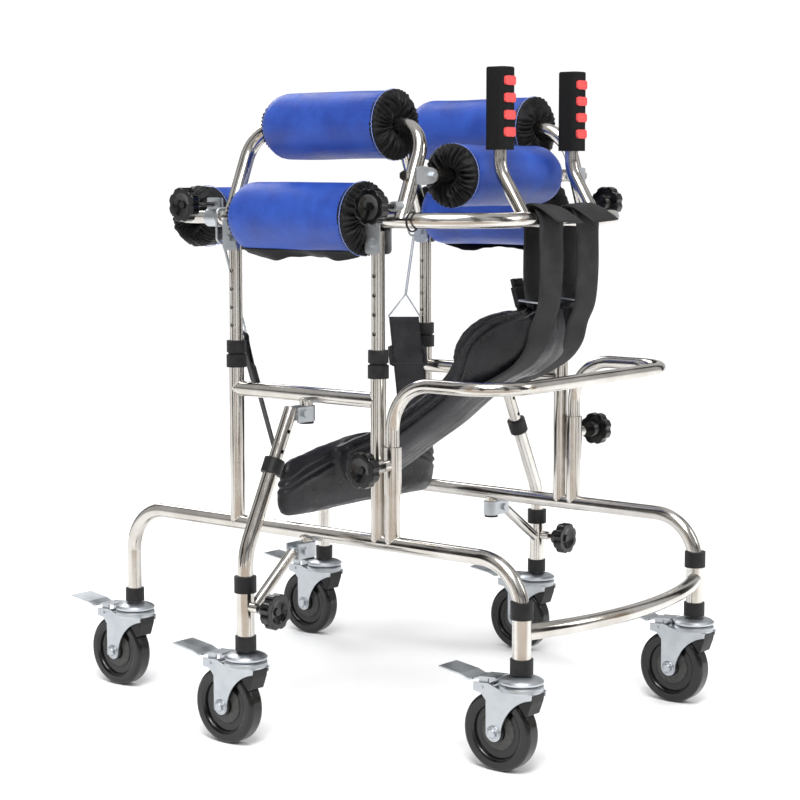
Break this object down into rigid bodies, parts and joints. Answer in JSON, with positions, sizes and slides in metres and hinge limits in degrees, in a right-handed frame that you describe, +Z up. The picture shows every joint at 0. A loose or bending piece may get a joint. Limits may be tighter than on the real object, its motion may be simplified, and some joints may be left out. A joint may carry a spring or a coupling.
{
  "type": "gait training walker",
  "caption": "Rehabilitation walker of bent steel tube on swivel casters, with a padded ring, upright grips, a U handrail, folding outriggers and a saddle sling.",
  "frame": {"origin": "on the floor, under the middle of the walker's bounding box", "axes": "+Z up; -Y is the way the user walks; +X is the user's left"},
  "size_m": [0.89, 1.054, 1.087],
  "materials": {
    "stainless": "polished stainless tube",
    "zinc": "bright zinc plate",
    "black_plastic": "satin moulded",
    "knob_black": "glossy moulded",
    "wheel_black": "smooth tread, satin",
    "grip_foam": "matt foam",
    "insert_red": "satin",
    "cover_blue": "smooth woven cover",
    "saddle_black": "soft, stitched",
    "strap_black": "webbing"
  },
  "bodies": {
    "base": {"side_rails": "stainless", "front_crossbar": "stainless", "frame_uprights": "stainless", "mid_rails": "stainless", "handrail_clamps": "stainless", "plastic_fittings": "black_plastic"},
    "upper_frame": {"telescopic_posts": "stainless", "top_ring": "stainless", "handle_tubes": "stainless", "handle_grips": "grip_foam", "grip_inserts": "insert_red", "armrest_arches": "stainless", "ring_brackets": "zinc", "frame_bolts": "zinc", "arm_rolls": "cover_blue", "side_rolls": "cover_blue", "saddle_seat": "saddle_black", "saddle_straps": "strap_black", "strap_buckles": "black_plastic", "rear_straps": "strap_black", "strap_hooks": "zinc"},
    "chest_bar": {"chest_bar": "stainless", "chest_roll": "cover_blue"},
    "rear_bar": {"rear_bar": "stainless", "rear_roll": "cover_blue"},
    "handrail": {"handrail": "stainless"},
    "right_handrail_knob": {"right_handrail_knob": "knob_black"},
    "right_front_knob": {"right_front_knob": "knob_black"},
    "right_rear_knob": {"right_rear_knob": "knob_black"},
    "right_outrigger": {"right_outrigger_leg": "stainless", "right_outrigger_brace": "stainless", "right_outrigger_brackets": "zinc", "right_outrigger_fittings": "black_plastic"},
    "right_outrigger_knob": {"right_outrigger_knob": "knob_black"},
    "left_handrail_knob": {"left_handrail_knob": "knob_black"},
    "left_front_knob": {"left_front_knob": "knob_black"},
    "left_rear_knob": {"left_rear_knob": "knob_black"},
    "left_outrigger": {"left_outrigger_leg": "stainless", "left_outrigger_brace": "stainless", "left_outrigger_brackets": "zinc", "left_outrigger_fittings": "black_plastic"},
    "left_outrigger_knob": {"left_outrigger_knob": "knob_black"},
    "right_front_fork": {"right_front_fork": "zinc"},
    "right_front_wheel": {"right_front_wheel": "wheel_black"},
    "right_front_pedal": {"right_front_pedal": "zinc"},
    "left_front_fork": {"left_front_fork": "zinc"},
    "left_front_wheel": {"left_front_wheel": "wheel_black"},
    "left_front_pedal": {"left_front_pedal": "zinc"},
    "right_rear_fork": {"right_rear_fork": "zinc"},
    "right_rear_wheel": {"right_rear_wheel": "wheel_black"},
    "right_rear_pedal": {"right_rear_pedal": "zinc"},
    "left_rear_fork": {"left_rear_fork": "zinc"},
    "left_rear_wheel": {"left_rear_wheel": "wheel_black"},
    "left_rear_pedal": {"left_rear_pedal": "zinc"},
    "right_outrigger_fork": {"right_outrigger_fork": "zinc"},
    "right_outrigger_wheel": {"right_outrigger_wheel": "wheel_black"},
    "right_outrigger_pedal": {"right_outrigger_pedal": "zinc"},
    "left_outrigger_fork": {"left_outrigger_fork": "zinc"},
    "left_outrigger_wheel": {"left_outrigger_wheel": "wheel_black"},
    "left_outrigger_pedal": {"left_outrigger_pedal": "zinc"}
  },
  "joints": [
    {"name": "frame_height", "type": "slide", "parent": "base", "child": "upper_frame", "axis": [0, 0, 1], "range_m": [-0.0307, 0.0921]},
    {"name": "chest_turn", "type": "hinge", "parent": "upper_frame", "child": "chest_bar", "pos_m": [0, -0.226, 0.915], "axis": [1, 0, 0], "range_deg": [-45, 45]},
    {"name": "rear_bar_reach", "type": "slide", "parent": "upper_frame", "child": "rear_bar", "axis": [0, 1, 0], "range_m": [-0.03, 0.06]},
    {"name": "handrail_height", "type": "slide", "parent": "base", "child": "handrail", "axis": [0, 0, 1], "range_m": [-0.025, 0.03]},
    {"name": "right_handrail_knob_turn", "type": "hinge", "parent": "base", "child": "right_handrail_knob", "pos_m": [-0.3, -0.208, 0.457], "axis": [-1, 0, 0], "continuous": true},
    {"name": "right_front_knob_turn", "type": "hinge", "parent": "upper_frame", "child": "right_front_knob", "pos_m": [-0.3, -0.226, 0.867], "axis": [-1, 0, 0], "continuous": true},
    {"name": "right_rear_knob_turn", "type": "hinge", "parent": "upper_frame", "child": "right_rear_knob", "pos_m": [-0.3, 0.176, 0.867], "axis": [-1, 0, 0], "continuous": true},
    {"name": "right_outrigger_swing", "type": "hinge", "parent": "base", "child": "right_outrigger", "pos_m": [-0.26, -0.026, 0.42], "axis": [0, 0, 1], "range_deg": [-75, 0]},
    {"name": "right_outrigger_knob_turn", "type": "hinge", "parent": "right_outrigger", "child": "right_outrigger_knob", "pos_m": [-0.41, -0.066, 0.229], "axis": [0, -1, 0], "continuous": true},
    {"name": "left_handrail_knob_turn", "type": "hinge", "parent": "base", "child": "left_handrail_knob", "pos_m": [0.3, -0.208, 0.457], "axis": [1, 0, 0], "continuous": true},
    {"name": "left_front_knob_turn", "type": "hinge", "parent": "upper_frame", "child": "left_front_knob", "pos_m": [0.3, -0.226, 0.867], "axis": [1, 0, 0], "continuous": true},
    {"name": "left_rear_knob_turn", "type": "hinge", "parent": "upper_frame", "child": "left_rear_knob", "pos_m": [0.3, 0.176, 0.867], "axis": [1, 0, 0], "continuous": true},
    {"name": "left_outrigger_swing", "type": "hinge", "parent": "base", "child": "left_outrigger", "pos_m": [0.26, -0.026, 0.42], "axis": [0, 0, 1], "range_deg": [0, 75]},
    {"name": "left_outrigger_knob_turn", "type": "hinge", "parent": "left_outrigger", "child": "left_outrigger_knob", "pos_m": [0.41, -0.066, 0.229], "axis": [0, -1, 0], "continuous": true},
    {"name": "right_front_swivel", "type": "hinge", "parent": "base", "child": "right_front_fork", "pos_m": [-0.26, -0.461, 0.15], "axis": [0, 0, 1], "continuous": true},
    {"name": "right_front_wheel_spin", "type": "hinge", "parent": "right_front_fork", "child": "right_front_wheel", "pos_m": [-0.26, -0.423, 0.0625], "axis": [1, 0, 0], "continuous": true},
    {"name": "right_front_lock", "type": "hinge", "parent": "right_front_fork", "child": "right_front_pedal", "pos_m": [-0.26, -0.401, 0.131], "axis": [1, 0, 0], "range_deg": [-20, 0]},
    {"name": "left_front_swivel", "type": "hinge", "parent": "base", "child": "left_front_fork", "pos_m": [0.26, -0.461, 0.15], "axis": [0, 0, 1], "continuous": true},
    {"name": "left_front_wheel_spin", "type": "hinge", "parent": "left_front_fork", "child": "left_front_wheel", "pos_m": [0.26, -0.423, 0.0625], "axis": [1, 0, 0], "continuous": true},
    {"name": "left_front_lock", "type": "hinge", "parent": "left_front_fork", "child": "left_front_pedal", "pos_m": [0.26, -0.401, 0.131], "axis": [1, 0, 0], "range_deg": [-20, 0]},
    {"name": "right_rear_swivel", "type": "hinge", "parent": "base", "child": "right_rear_fork", "pos_m": [-0.26, 0.385, 0.15], "axis": [0, 0, 1], "continuous": true},
    {"name": "right_rear_wheel_spin", "type": "hinge", "parent": "right_rear_fork", "child": "right_rear_wheel", "pos_m": [-0.26, 0.423, 0.0625], "axis": [1, 0, 0], "continuous": true},
    {"name": "right_rear_lock", "type": "hinge", "parent": "right_rear_fork", "child": "right_rear_pedal", "pos_m": [-0.26, 0.445, 0.131], "axis": [1, 0, 0], "range_deg": [-20, 0]},
    {"name": "left_rear_swivel", "type": "hinge", "parent": "base", "child": "left_rear_fork", "pos_m": [0.26, 0.385, 0.15], "axis": [0, 0, 1], "continuous": true},
    {"name": "left_rear_wheel_spin", "type": "hinge", "parent": "left_rear_fork", "child": "left_rear_wheel", "pos_m": [0.26, 0.423, 0.0625], "axis": [1, 0, 0], "continuous": true},
    {"name": "left_rear_lock", "type": "hinge", "parent": "left_rear_fork", "child": "left_rear_pedal", "pos_m": [0.26, 0.445, 0.131], "axis": [1, 0, 0], "range_deg": [-20, 0]},
    {"name": "right_outrigger_swivel", "type": "hinge", "parent": "right_outrigger", "child": "right_outrigger_fork", "pos_m": [-0.41, -0.026, 0.15], "axis": [0, 0, 1], "continuous": true},
    {"name": "right_outrigger_wheel_spin", "type": "hinge", "parent": "right_outrigger_fork", "child": "right_outrigger_wheel", "pos_m": [-0.41, 0.012, 0.0625], "axis": [1, 0, 0], "continuous": true},
    {"name": "right_outrigger_lock", "type": "hinge", "parent": "right_outrigger_fork", "child": "right_outrigger_pedal", "pos_m": [-0.41, 0.034, 0.131], "axis": [1, 0, 0], "range_deg": [-20, 0]},
    {"name": "left_outrigger_swivel", "type": "hinge", "parent": "left_outrigger", "child": "left_outrigger_fork", "pos_m": [0.41, -0.026, 0.15], "axis": [0, 0, 1], "continuous": true},
    {"name": "left_outrigger_wheel_spin", "type": "hinge", "parent": "left_outrigger_fork", "child": "left_outrigger_wheel", "pos_m": [0.41, 0.012, 0.0625], "axis": [1, 0, 0], "continuous": true},
    {"name": "left_outrigger_lock", "type": "hinge", "parent": "left_outrigger_fork", "child": "left_outrigger_pedal", "pos_m": [0.41, 0.034, 0.131], "axis": [1, 0, 0], "range_deg": [-20, 0]}
  ]
}
